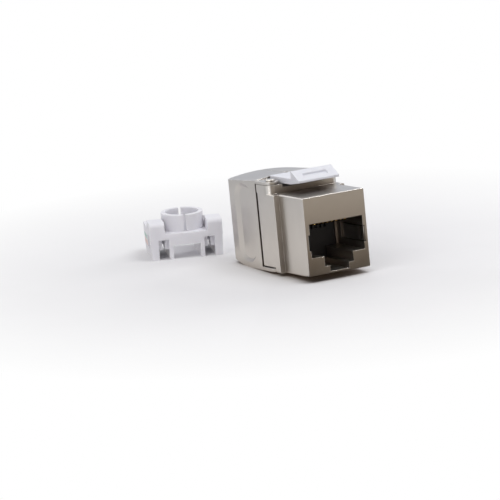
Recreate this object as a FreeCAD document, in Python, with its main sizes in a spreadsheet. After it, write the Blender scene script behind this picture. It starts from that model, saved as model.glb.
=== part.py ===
import FreeCAD, Part
import math
import os
import re
import Sketcher
from FreeCAD import Placement, Rotation, Vector

# Shielded toolless keystone jack with its snap latch, two hinged rear wings and loose wire cap.
# Millimetres. X runs to the right seen from the plug side, Y runs back into the jack, Z is up.
# The origin is the centre of the nose's front face, where the plug goes in.

SIZES = {
    # die-cast front housing
    "nose_width": 14.3,
    "nose_height": 16.0,
    "nose_depth": 9.6,
    "body_width": 16.6,
    "housing_depth": 16.6,
    "front_wall": 1.2,
    "edge_round": 0.3,
    "block_height": 1.75,
    "arm_recess": 1.05,
    "recess_gap": 0.3,
    "flank_bevel": 0.3,
    "panel_thickness": 1.3,
    "lug_width": 9.5,
    "lug_depth": 0.8,
    "lug_length": 2.5,
    "lug_ramp": 0.8,
    # plug port
    "port_side_wall": 0.95,
    "port_height": 6.85,
    "port_lift": 3.75,
    "latch_slot_width": 6.7,
    "latch_slot_drop": 2.05,
    "keyway_width": 4.4,
    "keyway_drop": 1.2,
    "spring_bay_depth": 0.4,
    "spring_bay_from_top": 2.15,
    "spring_bay_from_floor": 1.45,
    "spring_bay_wall": 1.8,
    "spring_thickness": 0.2,
    "spring_bow": 0.5,
    "spring_play": 0.15,
    # inner bay with the jack insert, circuit board and connecting block
    "bay_wall": 0.2,
    "bay_roof": 1.6,
    "fit_gap": 0.1,
    "insert_set_back": 4.4,
    "insert_wall": 1.2,
    "insert_gap": 0.2,
    "carrier_gap": 0.2,
    "contact_pitch": 1.02,
    "contact_width": 0.35,
    "contact_thickness": 0.3,
    "contact_lift": 0.55,
    "contact_bend": 0.6,
    "contact_front": 2.3,
    "contact_slope": 10.0,
    "comb_slot": 0.55,
    "comb_depth": 0.9,
    "guide_length": 3.0,
    "board_thickness": 0.8,
    "board_hole": 0.3,
    "block_overhang": 3.0,
    "ridge_width": 2.0,
    "ridge_margin": 0.2,
    "ridge_height": 4.0,
    "wire_room_depth": 3.0,
    "wire_room_wall": 1.0,
    "terminal_pitch": 2.9,
    "terminal_width": 1.6,
    "terminal_thickness": 0.35,
    "terminal_slit": 0.3,
    "terminal_slit_depth": 2.6,
    "terminal_mouth": 0.5,
    "terminal_set_back": 0.6,
    "terminal_play": 0.05,
    "tail_width": 0.5,
    "wire_slot": 0.9,
    "wire_slot_depth": 3.0,
    # hinged rear wings
    "wing_gap": 0.5,
    "wing_length": 12.1,
    "wing_wall": 0.6,
    "wing_rear_wall": 0.9,
    "wing_floor": 0.7,
    "wing_top_front": 2.42,
    "wing_top_back": 1.67,
    "wing_inner_top": 1.0,
    "crown_front": 0.5,
    "crown_back": 0.8,
    "seam_gap": 0.2,
    "tail_curve_length": 7.7,
    "tail_curve_rise": 1.6,
    "rear_round": 1.2,
    "ear_radius": 1.6,
    "ear_set_back": 3.3,
    "arm_gap": 0.1,
    "pin_radius": 0.6,
    "pin_play": 0.05,
    "pin_depth": 2.5,
    "pin_head_radius": 0.95,
    "pin_head_height": 0.45,
    "pin_head_play": 0.04,
    "grip_from_front": 2.0,
    "grip_from_back": 3.0,
    "grip_rise": 1.5,
    "grip_lift": 1.1,
    "grip_round": 3.0,
    "grip_depth": 0.3,
    "grip_border": 0.8,
    "grip_front_border": 0.25,
    "grip_rear_border": 1.7,
    "notch_width": 0.8,
    "notch_length": 1.5,
    # snap latch
    "clip_width": 9.5,
    "clip_gap": 0.15,
    "clip_rear_gap": 0.35,
    "clip_overhang": 0.6,
    "clip_corner": 0.3,
    "clip_lift": 0.05,
    "clip_thickness": 1.2,
    "clip_heel": 0.45,
    "clip_catch_height": 1.55,
    "clip_crest": 0.3,
    "clip_reach": 3.2,
    "clip_tip_rise": 2.75,
    "clip_tip_thickness": 0.45,
    "clip_tip_round": 0.12,
    "clip_travel_room": 0.65,
    "clip_mark_length": 5.6,
    "clip_mark_width": 0.95,
    "clip_mark_depth": 0.45,
    "trunnion_set_back": 0.85,
    "trunnion_drop": 0.75,
    "trunnion_radius": 0.5,
    "trunnion_length": 0.6,
    "knuckle_radius": 0.75,
    # wire cap, standing on its feet beside the jack
    "cap_clearance": 0.05,
    "cap_taper": 0.25,
    "cap_depth": 11.4,
    "cap_deck": 5.4,
    "cap_inner_leg": 0.85,
    "cap_window_height": 4.2,
    "cap_window_play": 0.1,
    "cap_bridge_height": 2.9,
    "cap_post_width": 3.2,
    "cap_post_depth": 5.2,
    "cap_post_height": 7.8,
    "cap_post_round": 0.9,
    "cap_block_height": 6.3,
    "cap_block_round": 0.4,
    "cap_notch": 0.5,
    "cap_port_set_back": 2.2,
    "cap_port_width": 3.0,
    "cap_port_floor": 2.1,
    "cap_port_height": 2.8,
    "cap_tooth": 0.7,
    "cap_tooth_drop": 2.2,
    "cap_tooth_slit": 0.6,
    "collar_radius": 4.4,
    "collar_wall": 0.9,
    "collar_height": 3.5,
    "collar_slit": 0.55,
    "cable_play": 0.15,
    "cap_x": -11.5,
    "cap_away": 15.6,
    "cap_yaw": -21.0,
}

# Sizes that follow from the driving ones.
DERIVED = {
    "nose_top": "(nose_height / 2)",
    "block_top": "(nose_top + block_height)",
    "lug_back": "(nose_depth - panel_thickness)",
    "lug_front": "(lug_back - lug_length)",
    "port_width": "(nose_width - 2 * port_side_wall)",
    "port_floor": "(port_lift - nose_top)",
    "port_top": "(port_floor + port_height)",
    "keyway_floor": "(port_floor - latch_slot_drop - keyway_drop)",
    "pin_x": "(body_width / 2 - ear_radius)",
    "ear_centre": "(housing_depth - ear_set_back)",
    "block_front": "(ear_centre - ear_radius)",
    "recess_front": "(ear_centre - ear_radius - recess_gap)",
    "bay_width": "(2 * (pin_x - pin_radius - bay_wall))",
    "bay_height": "(nose_height - 2 * bay_roof)",
    "insert_back": "(housing_depth - insert_set_back)",
    "insert_face": "(insert_back - insert_wall)",
    "bay_front": "(insert_face - insert_gap)",
    "spring_bay_top": "(port_top - spring_bay_from_top)",
    "spring_bay_floor": "(port_floor + spring_bay_from_floor)",
    "spring_bay_back": "(bay_front - spring_bay_wall)",
    "inner_width": "(bay_width - 2 * fit_gap)",
    "inner_height": "(bay_height - 2 * fit_gap)",
    "contact_height": "(port_top + contact_lift)",
    "first_contact": "(-3.5 * contact_pitch)",
    "first_terminal": "(-1.5 * terminal_pitch)",
    "board_back": "(insert_back + board_thickness)",
    "block_back": "(housing_depth + block_overhang)",
    "ridge_back": "(block_back + ridge_height)",
    "ridge_spread": "(inner_width / 2 - ridge_width / 2)",
    "ridge_length": "(inner_height - 2 * ridge_margin)",
    "wing_front": "(housing_depth + wing_gap)",
    "wing_back": "(wing_front + wing_length)",
    "wing_inner_back": "(wing_back - wing_rear_wall)",
    "wing_inner_bottom": "(-nose_top + wing_floor)",
    "wing_inner_top_z": "(nose_top + wing_inner_top)",
    "tail_curve_start": "(wing_back - tail_curve_length)",
    "arm_top": "(nose_top + wing_top_front)",
    "arm_under": "(block_top + arm_gap)",
    "clip_slot": "(clip_width / 2 + clip_gap)",
    "clip_plate_back": "(housing_depth + clip_overhang)",
    "clip_underside": "(block_top + clip_lift)",
    "clip_plate_top": "(clip_underside + clip_thickness)",
    "clip_catch": "(nose_depth - panel_thickness)",
    "clip_crest_y": "(clip_catch - clip_crest)",
    "clip_crest_z": "(clip_plate_top + clip_catch_height)",
    "clip_tip": "(clip_catch - clip_reach)",
    "clip_tip_z": "(nose_top + clip_tip_rise)",
    "trunnion_y": "(housing_depth - trunnion_set_back)",
    "trunnion_z": "(block_top - trunnion_drop)",
    "cap_width": "(body_width - 2 * wing_wall - 2 * cap_clearance)",
    "window_outer": "(ridge_spread + ridge_width / 2 + cap_window_play)",
    "window_inner": "(ridge_spread - ridge_width / 2 - cap_window_play)",
    "cap_y": "(wing_back + cap_away)",
}

NAMES = re.compile(r"\b(" + "|".join(sorted([*SIZES, *DERIVED], key=len, reverse=True)) + r")\b")


def formula(text):
    """Expression text for the document: size names become cell references."""
    def expand(match):
        name = match.group(1)
        if name in DERIVED:
            return formula(DERIVED[name])
        return "Sizes." + name
    return NAMES.sub(expand, str(text))


def value(text):
    """Present value of a size or of a sum of sizes."""
    return float(sheet.evalExpression(formula(text)))


def make_sheet():
    table = doc.addObject("Spreadsheet::Sheet", "Sizes")
    for row, (name, size) in enumerate(SIZES.items(), start=1):
        table.set(f"A{row}", name)
        table.set(f"B{row}", str(size))
        table.setAlias(f"B{row}", name)
    doc.recompute()
    return table


# ---------------------------------------------------------------- sketches and features

def new_body(label):
    body = doc.addObject("PartDesign::Body", label.title().replace("_", ""))
    body.Label = label
    return body


def new_sketch(body, name, plane, at):
    """Sketch on an origin plane of the body, moved to the given place along the world axis."""
    sketch = body.newObject("Sketcher::SketchObject", name)
    support = [f for f in body.Origin.OriginFeatures if f.Role == plane + "_Plane"][0]
    sketch.AttachmentSupport = [(support, "")]
    sketch.MapMode = "FlatFace"
    sign = "-1 * " if plane == "XZ" else ""
    sketch.setExpression("AttachmentOffset.Base.z", formula(f"{sign}({at})"))
    return sketch


def hold(sketch, geo, pos, where):
    """Tie one point of a sketch to its two coordinates."""
    for kind, text, axis in (("DistanceX", where[0], -2), ("DistanceY", where[1], -1)):
        if str(text) == "0":
            sketch.addConstraint(Sketcher.Constraint("PointOnObject", geo, pos, axis))
            continue
        rule = Sketcher.Constraint(kind, -1, 1, geo, pos, value(text))
        index = sketch.addConstraint(rule)
        sketch.setExpression(f"Constraints[{index}]", formula(text))


def add_radius(sketch, geo, text):
    index = sketch.addConstraint(Sketcher.Constraint("Radius", geo, value(text)))
    sketch.setExpression(f"Constraints[{index}]", formula(text))


def add_circle(sketch, x, y, radius):
    centre = Vector(value(x), value(y), 0)
    geo = sketch.addGeometry(Part.Circle(centre, Vector(0, 0, 1), value(radius)), False)
    hold(sketch, geo, 3, (x, y))
    add_radius(sketch, geo, radius)


def add_arc(sketch, start, middle, end):
    """Arc through three points; returns its index and which of its ends is the start."""
    geo = sketch.addGeometry(Part.Arc(start, middle, end), False)
    left_turn = (middle - start).cross(end - middle).z > 0
    return (geo, 1, 2) if left_turn else (geo, 2, 1)


def add_path(sketch, corners, closed=True):
    """Path of corners (x, y), (x, y, radius) when rounded, or (x, y, via_x, via_y) to arc onwards."""
    spots = [Vector(value(c[0]), value(c[1]), 0) for c in corners]
    count = len(corners)
    enter = list(spots)
    leave = list(spots)
    for i, corner in enumerate(corners):
        if len(corner) != 3:
            continue
        before = (spots[i - 1] - spots[i]).normalize()
        after = (spots[(i + 1) % count] - spots[i]).normalize()
        reach = value(corner[2]) / math.tan(before.getAngle(after) / 2)
        enter[i] = spots[i] + before * reach
        leave[i] = spots[i] + after * reach
    edges = []
    for i in range(count if closed else count - 1):
        j = (i + 1) % count
        if len(corners[i]) == 4:
            via = Vector(value(corners[i][2]), value(corners[i][3]), 0)
            edge = add_arc(sketch, spots[i], via, spots[j])
            mark = sketch.addGeometry(Part.Point(via), True)
            hold(sketch, mark, 1, corners[i][2:4])
            sketch.addConstraint(Sketcher.Constraint("PointOnObject", mark, 1, edge[0]))
        else:
            edge = (sketch.addGeometry(Part.LineSegment(leave[i], enter[j]), False), 1, 2)
        edges.append(edge)
    for i, corner in enumerate(corners):
        if not closed and i in (0, count - 1):
            edge = edges[0] if i == 0 else edges[-1]
            hold(sketch, edge[0], edge[1] if i == 0 else edge[2], corner[:2])
            continue
        last, following = edges[i - 1], edges[i]
        if len(corner) == 3:
            bend = (spots[i] - enter[i]).normalize()
            out = (leave[i] - spots[i]).normalize()
            radius = value(corner[2])
            centre_way = (out - bend).normalize()
            middle = spots[i] + centre_way * (radius / math.sin((-bend).getAngle(out) / 2) - radius)
            arc = add_arc(sketch, enter[i], middle, leave[i])
            mark = sketch.addGeometry(Part.Point(spots[i]), True)
            hold(sketch, mark, 1, corner[:2])
            sketch.addConstraint(Sketcher.Constraint("PointOnObject", mark, 1, last[0]))
            sketch.addConstraint(Sketcher.Constraint("PointOnObject", mark, 1, following[0]))
            sketch.addConstraint(Sketcher.Constraint("Tangent", last[0], last[2], arc[0], arc[1]))
            sketch.addConstraint(
                Sketcher.Constraint("Tangent", arc[0], arc[2], following[0], following[1]))
            add_radius(sketch, arc[0], corner[2])
        else:
            sketch.addConstraint(
                Sketcher.Constraint("Coincident", last[0], last[2], following[0], following[1]))
            hold(sketch, following[0], following[1], corner[:2])


def rectangle(x0, x1, y0, y1):
    return [(x0, y0), (x1, y0), (x1, y1), (x0, y1)]


def centred(width, height):
    """Rectangle about the sketch's origin."""
    return rectangle(f"-({width}) / 2", f"({width}) / 2", f"-({height}) / 2", f"({height}) / 2")


def draw(sketch, shapes):
    for shape in shapes:
        if isinstance(shape, tuple):
            add_circle(sketch, *shape)
        else:
            add_path(sketch, shape)


def extrude(kind, body, name, plane, start, end, shapes):
    """Pad or Pocket of closed shapes between two places along the plane's world axis."""
    from_end = kind == "Pocket" and plane != "XZ"
    sketch = new_sketch(body, name + "Sketch", plane, end if from_end else start)
    draw(sketch, shapes)
    feature = body.newObject("PartDesign::" + kind, name)
    feature.Profile = sketch
    feature.Reversed = kind == "Pad" and plane == "XZ"
    feature.setExpression("Length", formula(f"({end}) - ({start})"))
    return feature


def pad(body, name, plane, start, end, *shapes):
    return extrude("Pad", body, name, plane, start, end, shapes)


def pocket(body, name, plane, start, end, *shapes):
    return extrude("Pocket", body, name, plane, start, end, shapes)


def pattern(body, feature, axis, pitch, count):
    """Linear pattern of a feature along an origin axis, starting from the feature itself."""
    made = body.newObject("PartDesign::LinearPattern", feature.Name + "Row")
    made.Originals = [feature]
    line = [f for f in body.Origin.OriginFeatures if f.Role == axis + "_Axis"][0]
    made.Direction = (line, [""])
    made.Occurrences = count
    made.setExpression("Length", formula(f"({pitch}) * {count - 1}"))
    body.Tip = made
    return made


def edges_at(feature, x=None, y=None, z=None):
    """Names of the edges whose ends all lie on the given coordinates."""
    doc.recompute()
    wanted = [(axis, value(text)) for axis, text in (("x", x), ("y", y), ("z", z)) if text is not None]
    names = []
    for number, edge in enumerate(feature.Shape.Edges, start=1):
        ends = [vertex.Point for vertex in edge.Vertexes]
        if all(abs(getattr(end, axis) - place) < 1e-4 for end in ends for axis, place in wanted):
            names.append(f"Edge{number}")
    return names


def dress(kind, body, name, feature, edges, size):
    """Fillet or Chamfer on the named edges of a feature."""
    made = body.newObject("PartDesign::" + kind, name)
    made.Base = (feature, edges)
    made.setExpression("Radius" if kind == "Fillet" else "Size", formula(size))
    return made


# ---------------------------------------------------------------- front housing

def port_outline():
    """Plug port seen from the front: side spring bays, latch slot and keyway below."""
    right = [
        ("port_width / 2", "port_top"),
        ("port_width / 2", "port_floor"),
        ("latch_slot_width / 2", "port_floor"),
        ("latch_slot_width / 2", "port_floor - latch_slot_drop"),
        ("keyway_width / 2", "port_floor - latch_slot_drop"),
        ("keyway_width / 2", "keyway_floor"),
    ]
    left = [(f"-1 * ({x})", z) for x, z in reversed(right)]
    return right + left


def make_front_housing():
    body = new_body("front_housing")
    pad(body, "Nose", "XZ", "0", "housing_depth", centred("nose_width", "nose_height"))
    flanks = pad(body, "Flanks", "XZ", "nose_depth", "housing_depth",
                 centred("body_width", "nose_height"))
    long_edges = []
    for x in ("nose_width / 2", "-nose_width / 2", "body_width / 2", "-body_width / 2"):
        for z in ("nose_top", "-nose_top"):
            long_edges += edges_at(flanks, x=x, z=z)
    radius = "min(edge_round; (body_width - nose_width) / 5)"
    rounded = dress("Fillet", body, "LongEdges", flanks, long_edges, radius)
    dress("Fillet", body, "FrontEdges", rounded, edges_at(rounded, y="0"), f"{radius} * 0.6")
    half = "(body_width / 2)"
    pad(body, "HingeBlock", "XY", "nose_top - 1", "block_top", [
        (f"-{half}", "housing_depth"),
        (f"-{half}", "block_front", "ear_radius"),
        (half, "block_front", "ear_radius"),
        (half, "housing_depth"),
    ])
    pad(body, "PanelLug", "YZ", "-lug_width / 2", "lug_width / 2", [
        ("lug_front", "-nose_top + 0.5"),
        ("lug_front", "-nose_top"),
        ("lug_front + lug_ramp", "-nose_top - lug_depth"),
        ("lug_back", "-nose_top - lug_depth"),
        ("lug_back", "-nose_top + 0.5"),
    ])
    pocket(body, "PlugPort", "XZ", "0", "bay_front", port_outline())
    for side, name in ((-1, "Left"), (1, "Right")):
        pocket(body, name + "SpringBay", "XZ", "0", "spring_bay_back", rectangle(
            f"{side} * (port_width / 2 - 0.5)", f"{side} * (port_width / 2 + spring_bay_depth)",
            "spring_bay_floor", "spring_bay_top"))
    pocket(body, "ContactBay", "XZ", "front_wall", "bay_front", rectangle(
        "-port_width / 2", "port_width / 2", "port_top - 0.1", "bay_height / 2"))
    pocket(body, "RearBay", "XZ", "bay_front - 0.1", "housing_depth",
           centred("bay_width", "bay_height"))
    pocket(body, "ArmRecess", "XY", "-nose_top", "-nose_top + arm_recess", rectangle(
        "-body_width / 2", "body_width / 2", "recess_front", "housing_depth"))
    for side, name in ((-1, "Left"), (1, "Right")):
        spot = (f"{side} * pin_x", "ear_centre", "pin_radius")
        pocket(body, name + "UpperBore", "XY", "block_top - pin_depth", "block_top", spot)
        pocket(body, name + "LowerBore", "XY", "-nose_top + arm_recess",
               "-nose_top + arm_recess + pin_depth", spot)
    slot = "clip_slot"
    pocket(body, "ClipSlot", "XY", "block_top - clip_travel_room", "block_top", rectangle(
        f"-{slot}", slot, "block_front - 0.1", "housing_depth"))
    pocket(body, "ClipRoot", "XY", "trunnion_z - knuckle_radius - fit_gap", "block_top", rectangle(
        f"-{slot}", slot, "trunnion_y - knuckle_radius - clip_gap - fit_gap", "housing_depth"))
    reach = "(clip_width / 2 + trunnion_length + fit_gap)"
    pocket(body, "TrunnionBore", "YZ", f"-{reach}", reach,
           ("trunnion_y", "trunnion_z", "trunnion_radius + pin_play"))
    for side, name in ((-1, "Left"), (1, "Right")):
        pocket(body, name + "FlankBevel", "XY", "-nose_top", "nose_top", [
            (f"{side} * (body_width / 2 - flank_bevel)", "housing_depth"),
            (f"{side} * body_width / 2", "housing_depth - flank_bevel"),
            (f"{side} * (body_width / 2 + flank_bevel)", "housing_depth - flank_bevel"),
            (f"{side} * (body_width / 2 + flank_bevel)", "housing_depth + flank_bevel"),
            (f"{side} * (body_width / 2 - flank_bevel)", "housing_depth + flank_bevel"),
        ])
    return body


# ---------------------------------------------------------------- contacts, insert and block

def make_jack_insert():
    """Plastic insert: contact carrier over the port and the wall that closes its back."""
    body = new_body("jack_insert")
    half = "(port_width / 2 - carrier_gap)"
    pad(body, "Carrier", "XZ", "front_wall", "insert_face + 0.1", rectangle(
        f"-{half}", half, "port_top", "inner_height / 2"))
    pad(body, "BackWall", "XZ", "insert_face", "insert_back", centred("inner_width", "inner_height"))
    left = "(first_contact - comb_slot / 2)"
    right = "(first_contact + comb_slot / 2)"
    comb = pocket(body, "CombSlot", "XZ", "front_wall + 0.5", "insert_back",
                  rectangle(left, right, "port_top", "port_top + comb_depth"))
    pattern(body, comb, "X", "contact_pitch", 8)
    guide = pocket(body, "GuideSlot", "XZ", "insert_face", "insert_face + insert_wall / 2",
                   rectangle(left, right, "port_top - guide_length", "port_top"))
    pattern(body, guide, "X", "contact_pitch", 8)
    return body


def make_contact(number):
    """Flat spring wire: straight over the carrier's comb, bent back down into the port."""
    body = new_body(f"contact_{number}")
    bend_y = "(contact_front + contact_bend)"
    bend_z = "(contact_height - contact_bend)"
    drop_y = f"({bend_y} - contact_bend * sin(contact_slope))"
    drop_z = f"({bend_z} - contact_bend * cos(contact_slope))"
    end_y = "(insert_face + insert_wall * 0.3)"
    end_z = f"({drop_z} - ({end_y} - {drop_y}) * tan(contact_slope))"
    path = new_sketch(body, "WirePath", "YZ", "0")
    add_path(path, [
        ("board_back", "contact_height"),
        (bend_y, "contact_height", "contact_front", bend_z),
        (drop_y, drop_z),
        (end_y, end_z),
    ], closed=False)
    section = new_sketch(body, "WireSection", "XZ", "board_back")
    add_path(section, rectangle(
        "-contact_width / 2", "contact_width / 2",
        "contact_height - contact_thickness / 2", "contact_height + contact_thickness / 2"))
    wire = body.newObject("PartDesign::AdditivePipe", "Wire")
    wire.Profile = section
    wire.Spine = path
    body.setExpression("Placement.Base.x", formula(f"({number} - 4.5) * contact_pitch"))
    return body


def make_shield_spring(side, name):
    """Bowed leaf that grounds the plug's shield at one side of the port."""
    body = new_body(name)
    wall = f"{side} * (port_width / 2 + spring_bay_depth)"
    inner = f"{side} * (port_width / 2 + spring_bay_depth - spring_thickness)"
    crest = "(port_width / 2 + spring_bay_depth - spring_bow)"
    front, back = "(2 * spring_play)", "(spring_bay_back - spring_play)"
    middle = f"(({front} + {back}) / 2)"
    pad(body, "Leaf", "XY", "spring_bay_floor + spring_play", "spring_bay_top - spring_play", [
        (wall, front, f"{side} * {crest}", middle),
        (wall, back),
        (inner, back, f"{side} * ({crest} - spring_thickness)", middle),
        (inner, front),
    ])
    return body


def make_circuit_board():
    body = new_body("circuit_board")
    pad(body, "Board", "XZ", "insert_back", "board_back", centred("inner_width", "inner_height"))
    contact_hole = pocket(body, "ContactHole", "XZ", "insert_back", "board_back",
                          ("first_contact", "contact_height", "board_hole"))
    pattern(body, contact_hole, "X", "contact_pitch", 8)
    slots = [rectangle(f"{side} * ridge_spread - terminal_thickness / 2 - terminal_play",
                       f"{side} * ridge_spread + terminal_thickness / 2 + terminal_play",
                       "first_terminal - tail_width / 2 - terminal_play",
                       "first_terminal + tail_width / 2 + terminal_play") for side in (-1, 1)]
    tail_slots = pocket(body, "TailSlots", "XZ", "insert_back", "board_back", *slots)
    pattern(body, tail_slots, "Z", "terminal_pitch", 4)
    return body


def make_connecting_block():
    """Insulation-displacement block: a base in the bay and two slotted ridges behind it."""
    body = new_body("connecting_block")
    pad(body, "Base", "XZ", "board_back", "block_back", centred("inner_width", "inner_height"))
    ridges = [rectangle(f"{side} * ridge_spread - ridge_width / 2",
                        f"{side} * ridge_spread + ridge_width / 2",
                        "-ridge_length / 2", "ridge_length / 2") for side in (-1, 1)]
    pad(body, "Ridges", "XZ", "block_back", "ridge_back", *ridges)
    pocket(body, "WireRoom", "XZ", "block_back - wire_room_depth", "block_back", centred(
        "2 * ridge_spread - ridge_width - 2 * wire_room_wall", "ridge_length - 2 * wire_room_wall"))
    reach = "(ridge_spread + ridge_width)"
    wire_slot = pocket(body, "WireSlot", "XZ", "ridge_back - wire_slot_depth", "ridge_back",
                       rectangle(f"-{reach}", reach, "first_terminal - wire_slot / 2",
                                 "first_terminal + wire_slot / 2"))
    pattern(body, wire_slot, "Z", "terminal_pitch", 4)
    seats = [rectangle(f"{side} * ridge_spread - terminal_thickness / 2 - terminal_play",
                       f"{side} * ridge_spread + terminal_thickness / 2 + terminal_play",
                       "first_terminal - terminal_width / 2 - terminal_play",
                       "first_terminal + terminal_width / 2 + terminal_play") for side in (-1, 1)]
    blade_seats = pocket(body, "BladeSeats", "XZ", "board_back", "ridge_back", *seats)
    pattern(body, blade_seats, "Z", "terminal_pitch", 4)
    return body


def make_terminal(number):
    """Forked blade whose slit cuts into the wire; its tail goes through the board."""
    body = new_body(f"idc_terminal_{number}")
    side = -1 if number <= 4 else 1
    row = (number - 1) % 4
    tip = "(ridge_back - terminal_set_back)"
    mouth = f"({tip} - terminal_mouth)"
    root = f"({tip} - terminal_slit_depth)"
    slit = "(terminal_slit / 2)"
    half = "(terminal_width / 2)"
    tail = "(tail_width / 2)"
    pad(body, "Blade", "YZ", "-terminal_thickness / 2", "terminal_thickness / 2", [
        ("insert_back", f"-{tail}"), ("board_back", f"-{tail}"), ("board_back", f"-{half}"),
        (tip, f"-{half}"), (mouth, f"-{slit}"), (root, f"-{slit}"),
        (root, slit), (mouth, slit), (tip, half),
        ("board_back", half), ("board_back", tail), ("insert_back", tail),
    ])
    body.setExpression("Placement.Base.x", formula(f"{side} * ridge_spread"))
    body.setExpression("Placement.Base.z", formula(f"first_terminal + {row} * terminal_pitch"))
    return body


# ---------------------------------------------------------------- hinged wings and pins

def wing_section(side, edge_top, crown):
    """Cross-section of one wing seen from the front, with its crowned top edge."""
    seam = f"{side} * seam_gap / 2"
    outer = f"{side} * body_width / 2"
    return [
        (seam, "-nose_top"),
        (outer, "-nose_top"),
        (outer, f"{edge_top} - {crown}", f"{side} * body_width / 4", f"{edge_top} - {crown} / 4"),
        (seam, edge_top),
    ]


def ear_outline(side):
    """Arm that reaches forward from the wing to a round ear about the hinge pin."""
    return [
        (f"{side} * body_width / 2", "wing_front + 1"),
        (f"{side} * body_width / 2", "ear_centre", f"{side} * pin_x", "ear_centre - ear_radius"),
        (f"{side} * (pin_x - ear_radius)", "ear_centre"),
        (f"{side} * (pin_x - ear_radius)", "wing_front + 1"),
    ]


def grip_sketch(body, name, place, front, rear, border, radius):
    """Outline of the finger grip on a plane across X, drawn in by the given borders."""
    start = f"wing_front + grip_from_front + {front}"
    end = f"wing_back - grip_from_back - {rear}"
    low = f"-nose_top + grip_lift + {border}"
    high = f"nose_top + grip_rise - {border}"
    sketch = new_sketch(body, name, "YZ", place)
    add_path(sketch, [(start, low, radius), (end, low, radius), (end, high, radius),
                      (start, high, radius)])
    return sketch


def make_wing(side, name):
    body = new_body(name)
    front = new_sketch(body, "FrontSection", "XZ", "wing_front")
    add_path(front, wing_section(side, "(nose_top + wing_top_front + crown_front)", "crown_front"))
    back = new_sketch(body, "BackSection", "XZ", "wing_back")
    add_path(back, wing_section(side, "(nose_top + wing_top_back + crown_back)", "crown_back"))
    hull = body.newObject("PartDesign::AdditiveLoft", "Hull")
    hull.Profile = front
    hull.Sections = [back]
    hull.Ruled = True
    reach = ("0", "body_width / 2 + 1") if side > 0 else ("-body_width / 2 - 1", "0")
    lift = pocket(body, "TailCurve", "YZ", *reach, [
        ("tail_curve_start", "-nose_top",
         "tail_curve_start + (wing_back - tail_curve_start) * 0.55",
         "-nose_top + tail_curve_rise * 0.28"),
        ("wing_back", "-nose_top + tail_curve_rise"),
        ("wing_back + 1", "-nose_top + tail_curve_rise"),
        ("wing_back + 1", "-nose_top - 1"),
        ("tail_curve_start", "-nose_top - 1"),
    ])
    outer = f"{side} * body_width / 2"
    dress("Fillet", body, "RearCorner", lift, edges_at(lift, x=outer, y="wing_back"), "rear_round")
    inside = ("-1", "body_width / 2 - wing_wall")
    if side < 0:
        inside = ("-body_width / 2 + wing_wall", "1")
    pocket(body, "Hollow", "YZ", *inside, [
        ("wing_front - 1", "wing_inner_bottom"),
        ("tail_curve_start", "wing_inner_bottom"),
        ("wing_inner_back", "wing_inner_bottom + tail_curve_rise"),
        ("wing_inner_back", "wing_inner_top_z"),
        ("wing_front - 1", "wing_inner_top_z"),
    ])
    pad(body, "UpperArm", "XY", "arm_under", "arm_top", ear_outline(side))
    pad(body, "LowerArm", "XY", "-nose_top", "wing_inner_bottom", ear_outline(side))
    clip_end = "(clip_plate_back + clip_rear_gap)"
    pocket(body, "ClipClearance", "XY", "nose_top", "arm_top + 1", rectangle(
        f"{side} * -1", f"{side} * (pin_x - ear_radius)", "wing_front - 1", clip_end))
    pocket(body, "SeamNotch", "XY", "nose_top", "arm_top + 1", rectangle(
        f"{side} * -1", f"{side} * notch_width / 2", f"{clip_end} - 0.1",
        f"{clip_end} + notch_length"))
    pocket(body, "PinBore", "XY", "-nose_top - 1", "arm_top + 1",
           (f"{side} * pin_x", "ear_centre", "pin_radius + pin_play"))
    pocket(body, "CableExit", "XZ", "wing_inner_back - 1", "wing_back + 1",
           ("0", "0", "collar_radius + cable_play"))
    rim = grip_sketch(body, "GripRim", outer, "0", "0", "0", "grip_round")
    bottom = grip_sketch(body, "GripBottom", f"{side} * (body_width / 2 - grip_depth)",
                         "grip_front_border", "grip_rear_border", "grip_border",
                         "(grip_round - grip_border)")
    dish = body.newObject("PartDesign::SubtractiveLoft", "FingerGrip")
    dish.Profile = rim
    dish.Sections = [bottom]
    dish.Ruled = True
    return body


def make_pin(side, name, upper):
    """Hinge pin: the upper one has a head over its ear, the lower one is plain."""
    body = new_body(name)
    sketch = new_sketch(body, "PinProfile", "XZ", "0")
    if upper:
        head = "(arm_top + pin_head_play)"
        add_path(sketch, [
            ("0", "block_top - pin_depth"), ("pin_radius", "block_top - pin_depth"),
            ("pin_radius", head), ("pin_head_radius", head),
            ("pin_head_radius", f"{head} + pin_head_height / 2"),
            ("pin_head_radius * 0.7", f"{head} + pin_head_height"),
            ("0", f"{head} + pin_head_height"),
        ])
    else:
        add_path(sketch, rectangle("0", "pin_radius", "-nose_top",
                                   "-nose_top + arm_recess + pin_depth"))
    turned = body.newObject("PartDesign::Revolution", "Turned")
    turned.Profile = sketch
    turned.ReferenceAxis = (sketch, ["V_Axis"])
    turned.Angle = 360
    body.setExpression("Placement.Base.x", formula(f"{side} * pin_x"))
    body.setExpression("Placement.Base.y", formula("ear_centre"))
    return body


# ---------------------------------------------------------------- snap latch

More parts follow.
